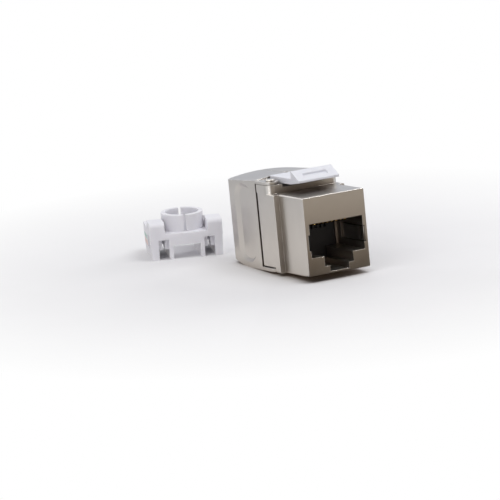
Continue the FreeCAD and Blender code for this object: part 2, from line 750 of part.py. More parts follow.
def make_latch_clip():
    body = new_body("latch_clip")
    half = "(clip_width / 2)"
    plate = pad(body, "Tongue", "YZ", f"-{half}", half, [
        ("clip_plate_back", "clip_underside"),
        ("clip_plate_back", "clip_plate_top"),
        ("clip_catch", "clip_plate_top"),
        ("clip_catch", "clip_crest_z"),
        ("clip_crest_y", "clip_crest_z"),
        ("clip_tip", "clip_tip_z"),
        ("clip_tip", "clip_tip_z - clip_tip_thickness"),
        ("clip_catch + clip_heel", "clip_underside"),
    ])
    tip_edges = edges_at(plate, y="clip_tip", z="clip_tip_z")
    dress("Fillet", body, "TipEdge", plate, tip_edges, "clip_tip_round")
    corners = []
    for side in (-1, 1):
        edge = f"({side} * clip_width / 2)"
        corners.append([
            (f"{edge} - {side} * clip_corner", "clip_plate_back"),
            (edge, "clip_plate_back - clip_corner"),
            (f"{edge} + {side}", "clip_plate_back - clip_corner"),
            (f"{edge} + {side}", "clip_plate_back + 1"),
            (f"{edge} - {side} * clip_corner", "clip_plate_back + 1"),
        ])
    pocket(body, "RearCorners", "XY", "clip_underside - 0.1", "clip_plate_top", *corners)
    pad(body, "Web", "YZ", f"-{half}", half, rectangle(
        "trunnion_y - knuckle_radius * 0.8", "trunnion_y + knuckle_radius * 0.8",
        "trunnion_z", "clip_underside + 0.2"))
    pad(body, "Knuckle", "YZ", f"-{half}", half, ("trunnion_y", "trunnion_z", "knuckle_radius"))
    pin = "(clip_width / 2 + trunnion_length)"
    pad(body, "Trunnions", "YZ", f"-{pin}", pin, ("trunnion_y", "trunnion_z", "trunnion_radius"))
    slope = "((clip_crest_z - clip_tip_z) / (clip_crest_y - clip_tip))"
    middle = "((clip_crest_y + clip_tip) / 2)"
    low = f"({middle} - clip_mark_width / 2)"
    high = f"({middle} + clip_mark_width / 2)"
    face_low = f"(clip_tip_z + ({low} - clip_tip) * {slope})"
    face_high = f"(clip_tip_z + ({high} - clip_tip) * {slope})"
    pocket(body, "RampMark", "YZ", "-clip_mark_length / 2", "clip_mark_length / 2", [
        (low, f"{face_low} - clip_mark_depth"),
        (high, f"{face_high} - clip_mark_depth"),
        (high, f"{face_high} + 1"),
        (low, f"{face_low} + 1"),
    ])
    return body


# ---------------------------------------------------------------- wire cap

def cap_profile():
    """Wire cap seen from the front: outer legs, two windows, inner legs and the middle bridge."""
    bridge = "(window_inner - cap_inner_leg)"
    right = [
        ("cap_width / 2", "cap_deck"),
        ("cap_width / 2 - cap_taper", "0"),
        ("window_outer", "0"),
        ("window_outer", "cap_window_height"),
        ("window_inner", "cap_window_height"),
        ("window_inner", "0"),
        (bridge, "0"),
        (bridge, "cap_bridge_height"),
    ]
    left = [(f"-1 * ({x})", z) for x, z in reversed(right)]
    return right + left


def make_wire_cap():
    body = new_body("wire_cap")
    front, back = "(-cap_depth / 2)", "(cap_depth / 2)"
    pad(body, "Frame", "XZ", front, back, cap_profile())
    inner_side = "(cap_width / 2 - cap_post_width)"
    post_back = f"({front} + cap_post_depth)"
    block_start = f"({post_back} + cap_notch)"
    post = [
        (front, "cap_deck - 1"),
        (front, "cap_post_height", "cap_post_round"),
        (post_back, "cap_post_height", "cap_block_round"),
        (post_back, "cap_deck - 1"),
    ]
    block = [
        (block_start, "cap_deck - 1"),
        (block_start, "cap_block_height"),
        (back, "cap_block_height", "cap_block_round"),
        (back, "cap_deck - 1"),
    ]
    for name, sides in (("Left", ("-cap_width / 2", f"-{inner_side}")),
                        ("Right", (inner_side, "cap_width / 2"))):
        pad(body, name + "Post", "YZ", *sides, post)
        pad(body, name + "RearBlock", "YZ", *sides, block)
    collar_top = "(cap_deck + collar_height)"
    pad(body, "Collar", "XY", "cap_deck - 0.5", collar_top, ("0", "0", "collar_radius"))
    pocket(body, "CableHole", "XY", "cap_bridge_height - 1", collar_top,
           ("0", "0", "collar_radius - collar_wall"))
    pocket(body, "CollarSlits", "XY", "cap_deck", collar_top, rectangle(
        "-collar_slit / 2", "collar_slit / 2", "-collar_radius - 1", "collar_radius + 1"))
    port = rectangle(f"{front} + cap_port_set_back", f"{front} + cap_port_set_back + cap_port_width",
                     "cap_port_floor", "cap_port_floor + cap_port_height")
    pocket(body, "LeftSidePort", "YZ", "-cap_width / 2 - 1", "-window_outer", port)
    pocket(body, "RightSidePort", "YZ", "window_outer", "cap_width / 2 + 1", port)
    tooth_edges = ("first_terminal - cap_tooth / 2", "first_terminal + cap_tooth / 2")
    teeth = pad(body, "WireTeeth", "XZ", *tooth_edges, *[
        rectangle(f"{side} * (window_inner - 0.1)", f"{side} * (window_outer + 0.1)",
                  "cap_window_height - cap_tooth_drop", "cap_window_height + 0.1")
        for side in (-1, 1)])
    pattern(body, teeth, "Y", "terminal_pitch", 4)
    slit = "(cap_tooth_slit / 2)"
    pocket(body, "BladeSlits", "XZ", front, back, *[
        rectangle(f"{side} * ridge_spread - {slit}", f"{side} * ridge_spread + {slit}",
                  "cap_window_height - cap_tooth_drop - 0.1", "cap_window_height")
        for side in (-1, 1)])
    # The jack rests on its lug and on the bottom of the wings; the cap stands on that same plane.
    rest_slope = value("lug_depth / (tail_curve_start - lug_back)")
    rest_height = value("-nose_top - lug_depth") + rest_slope * value("cap_y - lug_back")
    tilt = Rotation(Vector(1, 0, 0), math.degrees(math.atan(rest_slope)))
    turn = Rotation(Vector(0, 0, 1), value("cap_yaw"))
    spot = Vector(value("cap_x"), value("cap_y"), rest_height)
    body.Placement = Placement(spot, tilt.multiply(turn))
    return body


# ---------------------------------------------------------------- assembly and export

def check_document(nodes):
    for item in doc.Objects:
        if "Invalid" in item.State or "Error" in item.State:
            raise RuntimeError(f"{item.Name} did not build: {item.State}")
    for node in nodes:
        shape = node.Shape
        if shape.isNull() or not shape.isValid() or len(shape.Solids) != 1:
            raise RuntimeError(f"{node.Label} is not one sound solid")
        previous = 0.0
        for feature in node.Group:
            if not feature.isDerivedFrom("PartDesign::Feature"):
                continue
            volume = feature.Shape.Volume
            if feature.TypeId == "PartDesign::Pocket" and volume > previous - 1e-4:
                raise RuntimeError(f"{node.Label}: {feature.Name} cuts nothing")
            previous = volume


def make_jack():
    nodes = [make_front_housing(), make_jack_insert(), make_circuit_board(), make_connecting_block()]
    nodes += [make_contact(number) for number in range(1, 9)]
    nodes += [make_terminal(number) for number in range(1, 9)]
    for side, name in ((-1, "left"), (1, "right")):
        nodes.append(make_shield_spring(side, name + "_shield_spring"))
        nodes.append(make_wing(side, name + "_wing"))
        nodes.append(make_pin(side, name + "_upper_hinge_pin", upper=True))
        nodes.append(make_pin(side, name + "_lower_hinge_pin", upper=False))
    nodes.append(make_latch_clip())
    nodes.append(make_wire_cap())
    return nodes


doc = FreeCAD.newDocument("KeystoneJack")
sheet = make_sheet()
parts = make_jack()
doc.recompute()
check_document(parts)
os.makedirs("parts", exist_ok=True)
for part in parts:
    part.Shape.exportStep(f"parts/{part.Label}.step")
print(f"{len(parts)} nodes, {sum(part.Shape.Volume for part in parts):.1f} cubic millimetres")
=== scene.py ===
import math

import bmesh
import bpy
from mathutils import Matrix, Vector


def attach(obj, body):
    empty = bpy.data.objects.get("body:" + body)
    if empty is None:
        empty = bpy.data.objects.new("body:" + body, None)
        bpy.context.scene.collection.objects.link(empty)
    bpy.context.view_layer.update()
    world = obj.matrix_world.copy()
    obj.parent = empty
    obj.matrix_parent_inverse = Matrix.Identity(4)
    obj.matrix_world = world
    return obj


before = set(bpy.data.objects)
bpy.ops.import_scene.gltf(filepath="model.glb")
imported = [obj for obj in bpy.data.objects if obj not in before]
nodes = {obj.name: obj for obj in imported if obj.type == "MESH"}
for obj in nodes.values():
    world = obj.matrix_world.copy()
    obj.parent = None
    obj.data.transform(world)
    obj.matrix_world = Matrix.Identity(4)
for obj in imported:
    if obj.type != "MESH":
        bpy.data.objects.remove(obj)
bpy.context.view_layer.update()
scene = bpy.context.scene
scene.view_settings.view_transform = "Standard"
MM = 0.001


# ---------------------------------------------------------------- camera

CAMERA_TURN, CAMERA_LIFT, CAMERA_ROLL = 29.7, 9.37, 5.37    # degrees, round the frame's origin
CAMERA_PAN, CAMERA_TILT = 1.385, -0.276                     # degrees, away from the origin
CAMERA_DISTANCE = 0.71876                                   # metres from the origin
CLIP_NEAR, CLIP_FAR = 0.01, 20
LENS, SENSOR_WIDTH = 258.27, 36                             # millimetres


def make_camera():
    """Long lens from the plug side, a little above and to the left of the jack."""
    turn, lift, roll, pan, tilt = (math.radians(angle) for angle in (
        CAMERA_TURN, CAMERA_LIFT, CAMERA_ROLL, CAMERA_PAN, CAMERA_TILT))
    vertical = Vector((0, 0, 1))
    right = Vector((math.cos(turn), -math.sin(turn), 0))
    level = Vector((-math.sin(turn), -math.cos(turn), 0))
    up = vertical * math.cos(lift) - level * math.sin(lift)
    toward = vertical * math.sin(lift) + level * math.cos(lift)
    rolled_right = right * math.cos(roll) - up * math.sin(roll)
    rolled_up = right * math.sin(roll) + up * math.cos(roll)
    axes = Matrix((rolled_right, rolled_up, toward)).transposed().to_4x4()
    aim = Matrix.Rotation(pan, 4, "Y") @ Matrix.Rotation(tilt, 4, "X")
    camera = bpy.data.objects.new("camera", bpy.data.cameras.new("camera"))
    camera.matrix_world = Matrix.Translation(toward * CAMERA_DISTANCE) @ axes @ aim
    camera.data.lens = LENS
    camera.data.sensor_width = SENSOR_WIDTH
    camera.data.clip_start = CLIP_NEAR
    camera.data.clip_end = CLIP_FAR
    scene.collection.objects.link(camera)
    scene.camera = camera


make_camera()


# ---------------------------------------------------------------- material building blocks

WEAR_SAMPLES, SHADE_SAMPLES, ROUNDING_SAMPLES = 6, 8, 8
MIX_FIRST, MIX_SECOND, MIX_RESULT = 6, 7, 2     # a Mix node's colour sockets


def math_node(tree, operation, first, second):
    """Result of a Math node; each term is a number or a socket."""
    made = tree.nodes.new("ShaderNodeMath")
    made.operation = operation
    for socket, term in zip(made.inputs, (first, second)):
        if isinstance(term, (int, float)):
            socket.default_value = term
        else:
            tree.links.new(term, socket)
    return made.outputs[0]


class Shader:
    """A material's node tree with short calls for the nodes used below; sizes are millimetres."""

    def __init__(self, name):
        self.material = bpy.data.materials.new(name)
        self.material.use_nodes = True
        self.tree = self.material.node_tree
        self.surface = self.tree.nodes["Principled BSDF"]

    def node(self, kind, **settings):
        """New node; a setting called in_Name is the value of its socket Name."""
        made = self.tree.nodes.new("ShaderNode" + kind)
        for key, setting in settings.items():
            if key.startswith("in_"):
                made.inputs[key[len("in_"):]].default_value = setting
            else:
                setattr(made, key, setting)
        return made

    def link(self, source, target):
        self.tree.links.new(source, target)

    def place(self):
        return self.node("TexCoord").outputs["Object"]

    def distance(self, spot):
        """Distance from a spot, which is given in millimetres; the result is in metres."""
        made = self.node("VectorMath", operation="DISTANCE")
        made.inputs[1].default_value = [c * MM for c in spot]
        self.link(self.place(), made.inputs[0])
        return made.outputs["Value"]

    def noise(self, size, detail=3.0, roughness=0.5):
        """Noise whose features are about size across."""
        mapping = self.node("Mapping")
        mapping.inputs["Scale"].default_value = [1 / (size * MM)] * 3
        self.link(self.place(), mapping.inputs["Vector"])
        texture = self.node("TexNoise", in_Scale=1.0, in_Detail=detail, in_Roughness=roughness)
        self.link(mapping.outputs["Vector"], texture.inputs["Vector"])
        return texture.outputs["Fac"]

    def ramp(self, value, low, high, start=0.0, end=1.0):
        """A value between low and high, mapped to start and end and held there beyond."""
        made = self.node("MapRange", clamp=True)
        made.inputs["From Min"].default_value = low
        made.inputs["From Max"].default_value = high
        made.inputs["To Min"].default_value = start
        made.inputs["To Max"].default_value = end
        self.link(value, made.inputs["Value"])
        return made.outputs["Result"]

    def mix(self, factor, first, second):
        """The first colour where the factor is 0, the second where it is 1."""
        made = self.node("Mix", data_type="RGBA")
        self.link(factor, made.inputs["Factor"])
        for index, colour in ((MIX_FIRST, first), (MIX_SECOND, second)):
            if isinstance(colour, tuple):
                made.inputs[index].default_value = (*colour, 1)
            else:
                self.link(colour, made.inputs[index])
        return made.outputs[MIX_RESULT]

    def add(self, first, second):
        return math_node(self.tree, "ADD", first, second)

    def multiply(self, first, second):
        return math_node(self.tree, "MULTIPLY", first, second)

    def larger(self, first, second):
        return math_node(self.tree, "MAXIMUM", first, second)

    def rounded(self, radius, samples=ROUNDING_SAMPLES):
        """Normal that turns softly over edges, as if they were rounded by a radius."""
        bevel = self.node("Bevel", samples=samples)
        bevel.inputs["Radius"].default_value = radius * MM
        return bevel.outputs["Normal"]

    def edges(self, radius, flat, sharp):
        """1 on edges within about a radius, 0 on flat ground.

        The limits are the cosine between the face's normal and a softly turning one.
        """
        product = self.node("VectorMath", operation="DOT_PRODUCT")
        self.link(self.rounded(radius, WEAR_SAMPLES), product.inputs[0])
        self.link(self.node("NewGeometry").outputs["Normal"], product.inputs[1])
        return self.ramp(product.outputs["Value"], flat, sharp)

    def hollow(self, reach):
        """0 in corners and crevices narrower than about the reach, 1 in the open."""
        shade = self.node("AmbientOcclusion", samples=SHADE_SAMPLES)
        shade.inputs["Distance"].default_value = reach * MM
        return shade.outputs["AO"]

    def bump(self, layers, normal=None):
        """Bump layers of (height, depth, where it shows), one over another on a normal."""
        for height, depth, where in layers:
            made = self.node("Bump", in_Strength=1.0)
            made.inputs["Distance"].default_value = depth * MM
            self.link(height, made.inputs["Height"])
            if where is not None:
                self.link(where, made.inputs["Strength"])
            if normal is not None:
                self.link(normal, made.inputs["Normal"])
            normal = made.outputs["Normal"]
        self.link(normal, self.surface.inputs["Normal"])

    def put(self, name, source):
        """Give a socket of the surface a number or another socket's result."""
        socket = self.surface.inputs[name]
        if isinstance(source, (int, float)):
            socket.default_value = source
        else:
            self.link(source, socket)

    def show(self, result):
        """Make a shader's result the material's, in place of the plain surface."""
        self.link(result, self.tree.nodes["Material Output"].inputs["Surface"])


def tinted(colour, tint):
    return tuple(c * t for c, t in zip(colour, tint))


# ---------------------------------------------------------------- finishes

# Plated metal; sizes, widths, depths and reaches are millimetres.
METAL_PATCH_SIZE, METAL_SPECK_SIZE = 5.0, 0.35      # drift of tone and gloss, fine gloss
METAL_WAVE_SIZE, METAL_GRAIN_SIZE, METAL_LUMP_SIZE = 2.6, 0.3, 0.7
METAL_GLOSS_SPECKS = 0.01           # roughness, up and down
METAL_CORNER_SHADE = (0.45, 0.40, 0.36)     # painted shade: tint of the darker tone in corners and crevices
# Reach of the painted shade in corners and crevices.
METAL_SHADE_REACH = 5.0
METAL_SOFT_EDGE = 0.13              # rounding that only the shading has
METAL_WEAR_WIDTH = 0.13             # width of the worn band along edges, which also carries the painted highlight
METAL_WEAR_DEPTH = 0.14             # depth of the lumps in that band
METAL_EDGE_HIGHLIGHT = 0.7             # painted highlight: how far the rubbed edges take the paler edge colour
METAL_WEAR_GLOSS = -0.14            # what rubbing adds to the roughness
METAL_FLAT, METAL_SHARP = 0.985, 0.88                       # limits of the worn band
METAL_PATCHES, METAL_LUMPS = (0.25, 0.75), (0.42, 0.56)     # noise that becomes 0 and 1
METAL_UNSHADED = (0.2, 0.7)            # openness that becomes 0 and 1, from full painted shade to none

# Moulded plastic, in the same units.
PLASTIC_DRIFT_SIZE, PLASTIC_SPECK_SIZE = 4.5, 0.3
PLASTIC_WAVE_SIZE, PLASTIC_GRAIN_SIZE = 1.8, 0.12
PLASTIC_WAVE_DEPTH, PLASTIC_GRAIN_DEPTH = 0.003, 0.003
PLASTIC_GLOSS_DRIFT, PLASTIC_GLOSS_SPECKS = 0.05, 0.04
# Reach of the painted shade in crevices.
PLASTIC_SHADE_REACH = 0.5
PLASTIC_WEAR_WIDTH = 0.12
PLASTIC_WEAR_COLOUR = 0.6
PLASTIC_FLAT, PLASTIC_SHARP = 0.995, 0.9
PLASTIC_TONES, PLASTIC_GLOSSES = (0.35, 0.7), (0.3, 0.7)
# Openness that becomes 0 and 1, from full painted shade in crevices to none.
PLASTIC_UNSHADED = (0.2, 0.75)
PALE_GAIN, PALE_LIFT = 1.1, 0.01    # what makes the colour the edge's
GLOW_SPREAD = (1.0, 0.96, 0.95)     # how far red, green and blue light travel inside

SPECKS = (0.2, 0.8)                 # noise that becomes 0 and 1, in both


def metal(name, dark, light, shine, dull, grain=0.0003, waves=0.001, edge=(0.88, 0.85, 0.81)):
    """Plated metal: faint tone and gloss drift, fine cast grain, painted shade in corners and
    crevices, and uneven rubbed edges that carry a painted highlight in the paler edge colour.
    """
    s = Shader(name)
    s.put("Metallic", 1.0)
    patches = s.noise(METAL_PATCH_SIZE, detail=2.0)
    specks = s.noise(METAL_SPECK_SIZE, detail=2.0)
    worn = s.edges(METAL_WEAR_WIDTH, METAL_FLAT, METAL_SHARP)
    lumps = s.noise(METAL_LUMP_SIZE, detail=1.0)
    rubbed_and_highlit = s.multiply(worn, s.ramp(lumps, *METAL_LUMPS))
    tone = s.mix(s.ramp(patches, *METAL_PATCHES), dark, light)
    # Painted shade: the tone darkens in corners and crevices within the reach.
    unshaded = s.ramp(s.hollow(METAL_SHADE_REACH), *METAL_UNSHADED)
    tone = s.mix(unshaded, tinted(dark, METAL_CORNER_SHADE), tone)
    # Painted highlight: the rubbed edges take part of the paler edge colour.
    s.put("Base Color", s.mix(s.multiply(rubbed_and_highlit, METAL_EDGE_HIGHLIGHT), tone, edge))
    gloss = s.ramp(patches, *METAL_PATCHES, shine, dull)
    gloss = s.add(gloss, s.ramp(specks, *SPECKS, -METAL_GLOSS_SPECKS, METAL_GLOSS_SPECKS))
    s.put("Roughness", s.add(gloss, s.multiply(rubbed_and_highlit, METAL_WEAR_GLOSS)))
    s.bump([(s.noise(METAL_WAVE_SIZE, detail=2.0), waves, None),
            (s.noise(METAL_GRAIN_SIZE, detail=1.0), grain, None),
            (lumps, METAL_WEAR_DEPTH, worn)], s.rounded(METAL_SOFT_EDGE))
    return s.material


def plastic(name, colour, shade, rough, glow=0.12, depth=0.5, crevice_shade=0.84, edge=None):
    """Moulded plastic: faint tone and gloss drift, spark-eroded grain, slightly paler edges, and
    painted shade in crevices.

    glow is how much of the light travels inside and depth how far, crevice_shade is what crevices
    keep of the colour under the painted shade, and an edge colour that isn't given is worked out.
    """
    s = Shader(name)
    drift = s.noise(PLASTIC_DRIFT_SIZE, detail=4.0, roughness=0.6)
    specks = s.noise(PLASTIC_SPECK_SIZE, detail=2.0)
    worn = s.edges(PLASTIC_WEAR_WIDTH, PLASTIC_FLAT, PLASTIC_SHARP)
    tone = s.mix(s.ramp(drift, *PLASTIC_TONES), colour, shade)
    # Painted shade: the colour darkens in crevices narrower than the reach.
    unshaded = s.ramp(s.hollow(PLASTIC_SHADE_REACH), *PLASTIC_UNSHADED)
    tone = s.mix(unshaded, tinted(colour, (crevice_shade,) * 3), tone)
    pale = edge or tuple(min(1.0, c * PALE_GAIN + PALE_LIFT) for c in colour)
    s.put("Base Color", s.mix(s.multiply(worn, PLASTIC_WEAR_COLOUR), tone, pale))
    smooth, coarse = rough - PLASTIC_GLOSS_DRIFT, rough + PLASTIC_GLOSS_DRIFT
    gloss = s.ramp(drift, *PLASTIC_GLOSSES, smooth, coarse)
    fine = s.ramp(specks, *SPECKS, -PLASTIC_GLOSS_SPECKS, PLASTIC_GLOSS_SPECKS)
    s.put("Roughness", s.add(gloss, fine))
    if glow:
        s.put("Subsurface Weight", glow)
        s.surface.inputs["Subsurface Radius"].default_value = GLOW_SPREAD
        s.put("Subsurface Scale", depth * MM)
    s.bump([(s.noise(PLASTIC_WAVE_SIZE, detail=2.0), PLASTIC_WAVE_DEPTH, None),
            (s.noise(PLASTIC_GRAIN_SIZE, detail=2.0, roughness=0.6), PLASTIC_GRAIN_DEPTH, None)])
    return s.material


nickel = metal("nickel_plated_zinc", (0.575, 0.548, 0.518), (0.615, 0.588, 0.555), 0.30, 0.34)
pins = metal("pin_steel", (0.60, 0.57, 0.53), (0.72, 0.69, 0.65), 0.16, 0.26, grain=0.002)
springs = metal("spring_steel", (0.58, 0.57, 0.55), (0.68, 0.67, 0.65), 0.2, 0.3, grain=0.002)
gold = metal("gold_contacts", (0.76, 0.50, 0.17), (0.87, 0.62, 0.26), 0.16, 0.26, grain=0.001,
             waves=0.002, edge=(0.95, 0.76, 0.42))
tin = metal("tinned_terminals", (0.62, 0.61, 0.60), (0.74, 0.73, 0.71), 0.24, 0.36, grain=0.002)
latch_white = plastic("latch_plastic", (0.765, 0.768, 0.812), (0.745, 0.748, 0.795), 0.42,
                      glow=0.3, depth=0.8, crevice_shade=0.9)
cap_white = plastic("cap_plastic", (0.80, 0.79, 0.825), (0.78, 0.77, 0.81), 0.46,
                    glow=0.45, depth=1.2, crevice_shade=0.94)
block_white = plastic("block_plastic", (0.72, 0.72, 0.73), (0.66, 0.66, 0.68), 0.45)
black = plastic("insert_plastic", (0.022, 0.022, 0.025), (0.032, 0.031, 0.033), 0.42, glow=0,
                edge=(0.06, 0.06, 0.062))
green = plastic("circuit_board", (0.020, 0.13, 0.055), (0.026, 0.17, 0.075), 0.3, glow=0,
                edge=(0.32, 0.29, 0.15))

FINISH = {
    "front_housing": nickel, "left_wing": nickel, "right_wing": nickel,
    "jack_insert": black, "circuit_board": green, "connecting_block": block_white,
    "latch_clip": latch_white, "wire_cap": cap_white,
    "left_shield_spring": springs, "right_shield_spring": springs,
}


def finish_of(name):
    """Finish of a CAD node: contacts and terminals go by their first words, the rest are pins."""
    if name in FINISH:
        return FINISH[name]
    if name.startswith("contact"):
        return gold
    if name.startswith("idc_terminal"):
        return tin
    return pins


# ---------------------------------------------------------------- CAD nodes: soft edges and finish

# Widths of the rounded edges in millimetres; the nodes that aren't named have PLAIN_EDGE.
EDGE = {
    "front_housing": 0.10, "left_wing": 0.14, "right_wing": 0.14, "latch_clip": 0.10,
    "wire_cap": 0.24, "jack_insert": 0.06, "connecting_block": 0.08,
}
PLAIN_EDGE = 0.03
SHARP_ANGLE = 32            # degrees over which an edge is rounded
FLAT_ANGLE = 0.6            # degrees under which facets become one flat face
WELD_DISTANCE = 0.0005      # millimetres
EDGE_SEGMENTS = 3
NORMAL_WEIGHT = 90


def grip_zone(side):
    """Zone round a wing's finger grip, whose shallow borders are rounded as well.

    A zone is a box's low and high corner, the least angle of the edges in it, and their width.
    """
    x = sorted((side * 7.9, side * 8.4))
    return (x[0], 18.9, -7.1), (x[1], 26.5, 9.7), 6.0, 0.4


def rim_zone(side):
    """Zone of a wing's outer side, whose top, bottom and rear edges are rounder than the rest."""
    x = sorted((side * 7.6, side * 8.6))
    return (x[0], 17.6, -8.2), (x[1], 29.6, 10.0), 40.0, 0.32


ZONES = {"left_wing": [grip_zone(-1), rim_zone(-1)], "right_wing": [grip_zone(1), rim_zone(1)]}


def edge_weights(name, width, zones):
    """Modifier tree that gives sharp edges their width, and a zone's edges the zone's width.

    It keeps them as bevel weights, parts of the widest width, which is returned beside it.
    """
    tree = bpy.data.node_groups.new(name, "GeometryNodeTree")
    tree.interface.new_socket("Geometry", in_out="INPUT", socket_type="NodeSocketGeometry")
    tree.interface.new_socket("Geometry", in_out="OUTPUT", socket_type="NodeSocketGeometry")
    start = tree.nodes.new("NodeGroupInput")
    end = tree.nodes.new("NodeGroupOutput")
    widest = max([width] + [zone[3] for zone in zones])

    angle = tree.nodes.new("GeometryNodeInputMeshEdgeAngle").outputs["Unsigned Angle"]
    spot = tree.nodes.new("ShaderNodeSeparateXYZ")
    tree.links.new(tree.nodes.new("GeometryNodeInputPosition").outputs[0], spot.inputs[0])

    def sharper(degrees):
        return math_node(tree, "GREATER_THAN", angle, math.radians(degrees))

    weight = math_node(tree, "MULTIPLY", sharper(SHARP_ANGLE), width / widest)
    for low, high, least_angle, zone_width in zones:
        inside = sharper(least_angle)
        for place, lowest, highest in zip(spot.outputs, low, high):
            above = math_node(tree, "GREATER_THAN", place, lowest * MM)
            inside = math_node(tree, "MULTIPLY", inside, above)
            below = math_node(tree, "LESS_THAN", place, highest * MM)
            inside = math_node(tree, "MULTIPLY", inside, below)
        zone_weight = math_node(tree, "MULTIPLY", inside, zone_width / widest)
        weight = math_node(tree, "MAXIMUM", weight, zone_weight)

    store = tree.nodes.new("GeometryNodeStoreNamedAttribute")
    store.data_type = "FLOAT"
    store.domain = "EDGE"
    store.inputs["Name"].default_value = "bevel_weight_edge"
    tree.links.new(start.outputs[0], store.inputs["Geometry"])
    tree.links.new(weight, store.inputs["Value"])
    tree.links.new(store.outputs[0], end.inputs[0])
    return tree, widest


def soften(obj, width, zones):
    """Merge the facets' corners and flat faces, and round the edges a little."""
    weld = obj.modifiers.new("weld", "WELD")
    weld.merge_threshold = WELD_DISTANCE * MM
    flat = obj.modifiers.new("flat", "DECIMATE")
    flat.decimate_type = "DISSOLVE"
    flat.angle_limit = math.radians(FLAT_ANGLE)
    weights = obj.modifiers.new("weights", "NODES")
    weights.node_group, widest = edge_weights(obj.name + "_weights", width, zones)
    bevel = obj.modifiers.new("bevel", "BEVEL")
    bevel.width = widest * MM
    bevel.segments = EDGE_SEGMENTS
    bevel.limit_method = "WEIGHT"
    bevel.use_clamp_overlap = True
    bevel.loop_slide = True
    normals = obj.modifiers.new("normals", "WEIGHTED_NORMAL")
    normals.weight = NORMAL_WEIGHT
    normals.keep_sharp = False


for name, obj in nodes.items():
    obj.data.materials.clear()
    obj.data.materials.append(finish_of(name))
    for face in obj.data.polygons:
        face.use_smooth = True
    soften(obj, EDGE.get(name, PLAIN_EDGE), ZONES.get(name, ()))


# ---------------------------------------------------------------- colour marks on the wire cap

# The plane that the jack and the cap rest on goes through the lug's foot and rises to the rear.
REST_SLOPE = 0.8 / 13.2
REST_HEIGHT = -8.8 * MM
REST_START = 8.3 * MM

# The cap's place, its turn about z in degrees, and its side in millimetres: half its width at the
# deck's height, and what it has less at the foot.
CAP_X, CAP_Y, CAP_TURN = -11.5 * MM, 44.8 * MM, -21.0
CAP_HALF_WIDTH, CAP_LEAN, CAP_DECK = 7.65, 0.25, 5.4

MARK_BACK, MARK_FRONT = 5.2, 0.3        # millimetres behind the cap's middle
MARK_PROUD, MARK_SUNK = 0.03, 0.1       # millimetres out of the cap's side and into it
MARK_CORNER, MARK_SEGMENTS = 0.02, 2
MARK_SHADE, MARK_ROUGHNESS = 0.93, 0.5


def rest_height(y):
    """Height of the plane that the jack's lug and wings and the cap's feet rest on."""
    return REST_HEIGHT + REST_SLOPE * (y - REST_START)


def make_mark(name, colour, low, high):
    """Thin printed patch on the left side of the cap, between two heights in millimetres."""
    made = bmesh.new()
    bmesh.ops.create_cube(made, size=1.0)
    for vertex in made.verts:
        y = MARK_BACK if vertex.co.y > 0 else MARK_FRONT
        z = high if vertex.co.z > 0 else low
        side = CAP_HALF_WIDTH - CAP_LEAN * (1 - z / CAP_DECK)
        x = -side - MARK_PROUD if vertex.co.x < 0 else -side + MARK_SUNK
        vertex.co = Vector((x, y, z)) * MM
    mesh = bpy.data.meshes.new(name)
    made.to_mesh(mesh)
    made.free()
    mark = bpy.data.objects.new(name, mesh)
    foot = Matrix.Translation((CAP_X, CAP_Y, rest_height(CAP_Y)))
    tilt = Matrix.Rotation(math.atan(REST_SLOPE), 4, "X")
    turn = Matrix.Rotation(math.radians(CAP_TURN), 4, "Z")
    mark.matrix_world = foot @ tilt @ turn
    scene.collection.objects.link(mark)
    corners = mark.modifiers.new("corners", "BEVEL")
    corners.width = MARK_CORNER * MM
    corners.segments = MARK_SEGMENTS
    shade = tinted(colour, (MARK_SHADE,) * 3)
    mesh.materials.append(plastic(name + "_ink", colour, shade, MARK_ROUGHNESS, glow=0))
    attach(mark, "housing")


make_mark("green_wire_mark", (0.50, 0.68, 0.62), low=3.45, high=4.65)
make_mark("orange_wire_mark", (0.80, 0.62, 0.59), low=2.05, high=3.25)


# ---------------------------------------------------------------- floor and world

WHITE = (1.0, 1.0, 1.0)
FLOOR_HALF_SIZE = 1.5
PAPER = (0.80, 0.79, 0.80), (0.83, 0.82, 0.83)
PAPER_ROUGHNESS, PAPER_SPECULAR = 0.85, 0.15
PAPER_DRIFT_SIZE, PAPER_GRAIN_SIZE, PAPER_GRAIN_DEPTH = 30, 1.2, 0.01       # millimetres
PAPER_DRIFT, PAPER_OPEN = (0.3, 0.7), (0.05, 0.75)      # noise and openness that become 0 and 1

# Millimetres: a spot, and the two distances from it between which something changes. The contact
# shade that is drawn near the jack ends; the floor fades into the white ground, once as the camera
# and once as reflections see it, where the glowing ground is a painted reflection; and that
# painted reflection turns from a warm to a cool white.
SHADE_COLOUR, SHADE_REACH = (0.24, 0.18, 0.14), 5.0
SHADE_SPOT, SHADE_ENDS = (2, 8, -9), (23, 31)
FADE_SPOT, SEEN_FADE, MIRRORED_FADE = (0, 22, -9), (28, 95), (-30, 110)
WARM_WHITE, COOL_WHITE, WHITE_ENDS = (0.97, 0.91, 0.84), (0.68, 0.71, 0.76), (35, 85)

WORLD_COLOUR, WORLD_STRENGTH = (0.95, 0.96, 1.0), 0.40      # of the light that the world gives


def make_panel(name, corners):
    """Flat face with four corners."""
    mesh = bpy.data.meshes.new(name)
    mesh.from_pydata(corners, [], [(0, 1, 2, 3)])
    panel = bpy.data.objects.new(name, mesh)
    scene.collection.objects.link(panel)
    return panel


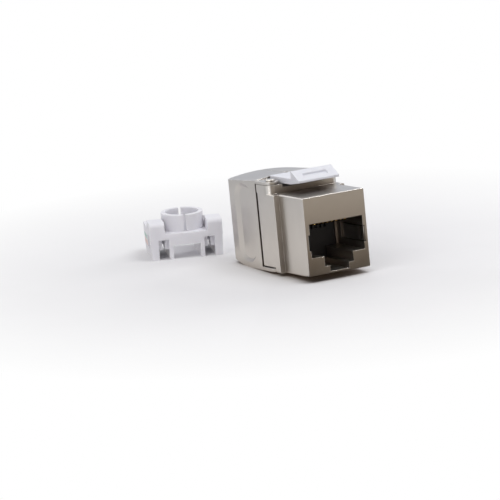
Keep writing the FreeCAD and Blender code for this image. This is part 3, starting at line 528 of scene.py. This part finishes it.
def make_floor():
    """Pale floor that the jack's lug and wings and the cap's feet rest on, with painted contact
    shade near the jack and a painted glow that only reflections see.
    """
    half = FLOOR_HALF_SIZE
    floor = make_panel("floor", [Vector((x, y, rest_height(y))) for x, y in
                                 ((-half, -half), (half, -half), (half, half), (-half, half))])
    s = Shader("floor_paper")

    def between(distance, ends):
        return s.ramp(distance, ends[0] * MM, ends[1] * MM)

    paper = s.mix(s.ramp(s.noise(PAPER_DRIFT_SIZE), *PAPER_DRIFT), *PAPER)
    outside = between(s.distance(SHADE_SPOT), SHADE_ENDS)
    lit = s.larger(s.ramp(s.hollow(SHADE_REACH), *PAPER_OPEN), outside)
    s.put("Base Color", s.mix(lit, SHADE_COLOUR, paper))
    s.put("Roughness", PAPER_ROUGHNESS)
    s.put("Specular IOR Level", PAPER_SPECULAR)
    s.bump([(s.noise(PAPER_GRAIN_SIZE), PAPER_GRAIN_DEPTH, None)])

    distance = s.distance(FADE_SPOT)
    rays = s.node("LightPath").outputs
    seen = s.larger(rays["Is Camera Ray"], rays["Is Transmission Ray"])
    seen = s.multiply(seen, between(distance, SEEN_FADE))
    # Painted reflection: reflections see the floor partly as a glowing ground, warm near the jack
    # and cool further off.
    mirrored = s.multiply(between(distance, MIRRORED_FADE), rays["Is Glossy Ray"])
    ground = s.node("Emission")
    tint = s.mix(between(distance, WHITE_ENDS), WARM_WHITE, COOL_WHITE)
    s.link(s.mix(rays["Is Glossy Ray"], WHITE, tint), ground.inputs["Color"])
    blend = s.node("MixShader")
    s.link(s.larger(seen, mirrored), blend.inputs[0])
    s.link(s.surface.outputs[0], blend.inputs[1])
    s.link(ground.outputs[0], blend.inputs[2])
    s.show(blend.outputs[0])
    floor.data.materials.append(s.material)


def make_world():
    """White ground for what is seen, mirrored or seen through, and a soft light for the rest."""
    world = bpy.data.worlds.new("studio")
    scene.world = world
    world.use_nodes = True
    tree = world.node_tree
    light = tree.nodes["Background"]
    ground = tree.nodes.new("ShaderNodeBackground")
    for node, colour, strength in ((light, WORLD_COLOUR, WORLD_STRENGTH), (ground, WHITE, 1.0)):
        node.inputs["Color"].default_value = (*colour, 1)
        node.inputs["Strength"].default_value = strength
    rays = tree.nodes.new("ShaderNodeLightPath").outputs
    seen = math_node(tree, "MAXIMUM", rays["Is Camera Ray"], rays["Is Glossy Ray"])
    seen = math_node(tree, "MAXIMUM", seen, rays["Is Transmission Ray"])
    blend = tree.nodes.new("ShaderNodeMixShader")
    tree.links.new(seen, blend.inputs[0])
    tree.links.new(light.outputs[0], blend.inputs[1])
    tree.links.new(ground.outputs[0], blend.inputs[2])
    tree.links.new(blend.outputs[0], tree.nodes["World Output"].inputs["Surface"])


make_floor()
make_world()


# ---------------------------------------------------------------- lamps

SET_MIDDLE, SPARK_AIM = (0, 0.015, 0), (0, 0.01, 0)
SPARK_SIZE, SPARK_COLOUR = (0.05, 0.05), (1.0, 0.99, 0.97)


def make_lamp(name, spot, aim, size, power, colour, mirrored=True, spreads=True):
    """Soft rectangular lamp; a fill lamp isn't mirrored, and a spark lamp is only mirrored."""
    data = bpy.data.lights.new(name, "AREA")
    data.shape = "RECTANGLE"
    data.size, data.size_y = size
    data.energy = power
    data.color = colour
    lamp = bpy.data.objects.new(name, data)
    lamp.location = spot
    lamp.rotation_euler = (Vector(aim) - Vector(spot)).to_track_quat("-Z", "Y").to_euler()
    lamp.visible_glossy = mirrored
    lamp.visible_diffuse = spreads
    lamp.visible_transmission = spreads
    scene.collection.objects.link(lamp)


make_lamp("key_lamp", (-0.28, -0.10, 0.36), SET_MIDDLE, (0.34, 0.34), 0.68, (1.0, 0.985, 0.96))
make_lamp("rear_lamp", (0.18, 0.34, 0.30), SET_MIDDLE, (0.3, 0.2), 0.16, (0.96, 0.98, 1.0))
make_lamp("right_lamp", (0.34, 0.10, 0.15), (-0.008, 0.035, 0), (0.2, 0.2), 0.34,
          (1.0, 0.99, 0.98), mirrored=False)
make_lamp("top_lamp", (0.11, -0.13, 0.38), SET_MIDDLE, (0.24, 0.24), 0.66, (0.98, 0.99, 1.0),
          mirrored=False)
for name, spot, power in (("front_edge_spark", (0.17, -0.06, 0.30), 0.17),
                          ("corner_spark", (-0.30, -0.175, 0.05), 0.04),
                          ("side_edge_spark", (-0.07, 0.36, 0.20), 0.05)):
    make_lamp(name, spot, SPARK_AIM, SPARK_SIZE, power, SPARK_COLOUR, spreads=False)


# ---------------------------------------------------------------- cards that paint reflections, all in millimetres

CARD_LIFT = 0.2
FRONT_LEFT, FRONT_RIGHT = (-75, -68), (115, -52)    # ends of the cards in front of the plug side
Y_AXIS, Z_AXIS = 1, 2


def make_card(name, corners, axis, ends, first, second):
    """Glowing card beside the set that only reflections see, which paints a reflection.

    Its colour goes from the first to the second between two places along an axis.
    """
    card = make_panel(name, [Vector(corner) * MM for corner in corners])
    s = Shader(name + "_colour")
    split = s.node("SeparateXYZ")
    s.link(s.place(), split.inputs[0])
    glow = s.node("Emission")
    along = s.ramp(split.outputs[axis], ends[0] * MM, ends[1] * MM)
    s.link(s.mix(along, first, second), glow.inputs["Color"])
    s.show(glow.outputs[0])
    card.data.materials.append(s.material)
    card.visible_camera = False
    card.visible_diffuse = False
    card.visible_shadow = False
    card.visible_transmission = False


def standing(left, right, foot, head):
    """Corners of a card that stands between two (x, y) spots."""
    return [(*left, foot), (*right, foot), (*right, head), (*left, head)]


def lying(spots):
    """Corners of a card that lies just over the floor at (x, y) spots."""
    return [(x, y, rest_height(y * MM) / MM + CARD_LIFT) for x, y in spots]


# Painted reflections: the front card is dark and warm low down, where it stands for shaded ground,
# and pale warm higher up like a lit table edge; the dark card above it paints a dark void, and the
# table card the dark, shaded ground just in front of the jack. The back and left cards paint pale
# surroundings.
make_card("front_card", standing(FRONT_LEFT, FRONT_RIGHT, -40, 11), Z_AXIS, (-16, 2),
          (0.07, 0.035, 0.01), (0.82, 0.75, 0.66))
make_card("dark_card", standing(FRONT_LEFT, FRONT_RIGHT, 11, 90), Z_AXIS, (11, 17),
          (0.45, 0.40, 0.35), (0.13, 0.10, 0.08))
make_card("table_card", lying([(-14, 5), (-95, -110), (130, -110), (14, -3)]), Y_AXIS, (-2, -70),
          (0.01, 0.005, 0.001), (0.19, 0.11, 0.04))
make_card("back_card", standing((-60, 190), (200, 90), -4, 88), Z_AXIS, (0, 80),
          (0.50, 0.53, 0.60), (0.50, 0.53, 0.60))
make_card("left_card", standing((-104, 64), (-25, 122), -12, 26), Z_AXIS, (-6, 20),
          (0.62, 0.61, 0.60), (0.44, 0.45, 0.47))
